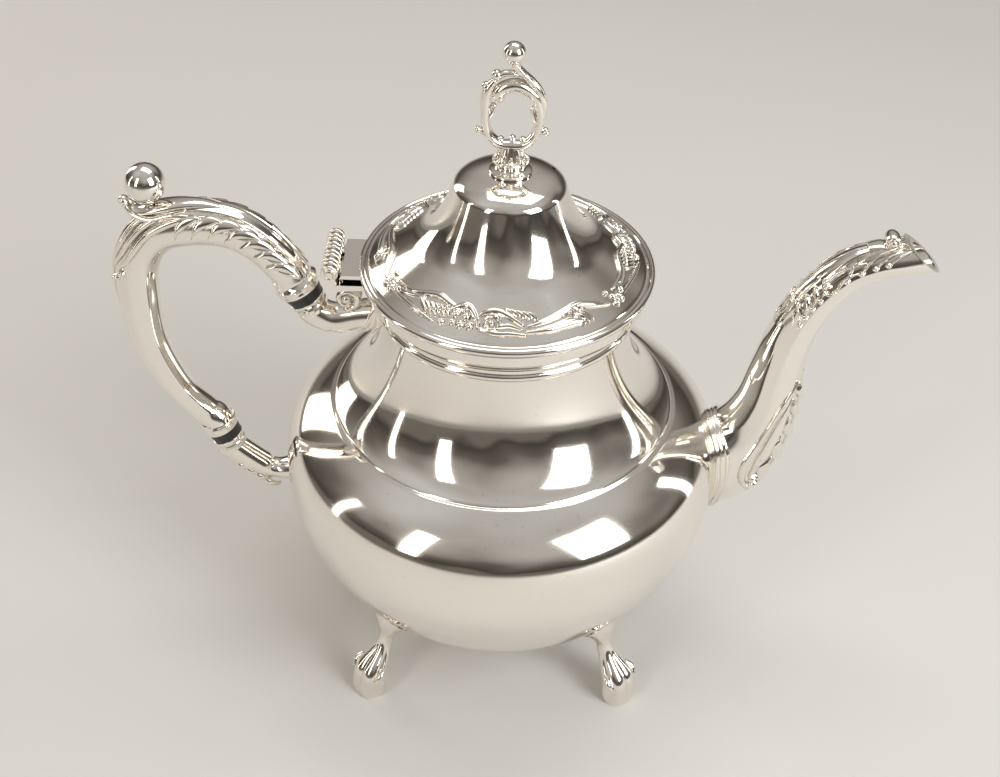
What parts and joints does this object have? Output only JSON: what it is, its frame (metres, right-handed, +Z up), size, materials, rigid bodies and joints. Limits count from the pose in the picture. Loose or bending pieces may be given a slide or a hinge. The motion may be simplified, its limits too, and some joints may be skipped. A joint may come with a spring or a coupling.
{
  "type": "teapot",
  "caption": "Squat silver teapot on cast feet, with a hinged bell-shaped lid, openwork finial, swan-neck spout and C-shaped handle with dark insulating rings.",
  "frame": {"origin": "on the table plane, under the axis of the pot's body", "axes": "+X towards the spout, -X towards the handle and the lid's hinge, +Z up, X-Z is the plane of symmetry"},
  "size_m": [0.2806, 0.158, 0.2465],
  "materials": {
    "silver": "polished silver, slightly warm, with fine wear",
    "silver_cast": "polished cast silver with darker hollows",
    "insulator": "dark satin insulating composition"
  },
  "bodies": {
    "pot": {"bowl": "silver", "shoulder": "silver", "mouth_collar": "silver", "spout_tube": "silver", "spout_collar": "silver", "spout_leaf_upper": "silver_cast", "spout_leaf_lower": "silver_cast", "spout_scroll": "silver_cast", "handle_socket_upper": "silver_cast", "insulator_upper": "insulator", "handle_grip": "silver", "handle_leaf": "silver_cast", "thumb_scroll": "silver_cast", "thumb_ball": "silver", "insulator_lower": "insulator", "handle_socket_lower": "silver_cast", "insulator_pins": "silver", "hinge_leaf_pot": "silver", "hinge_pin": "silver", "foot_front_left": "silver_cast", "foot_front_right": "silver_cast", "foot_back_left": "silver_cast", "foot_back_right": "silver_cast"},
    "lid": {"hinge_leaf_lid": "silver", "lid_brim": "silver", "lid_border": "silver_cast", "lid_bell": "silver", "lid_bezel": "silver", "finial_base": "silver_cast", "finial_ring": "silver_cast", "finial_ball": "silver", "finial_screw": "silver", "finial_nut": "silver"}
  },
  "joints": [
    {"name": "lid_hinge", "type": "hinge", "parent": "pot", "child": "lid", "pos_m": [-0.0585, 0, 0.16775], "axis": [0, -1, 0], "range_deg": [0, 100]}
  ]
}
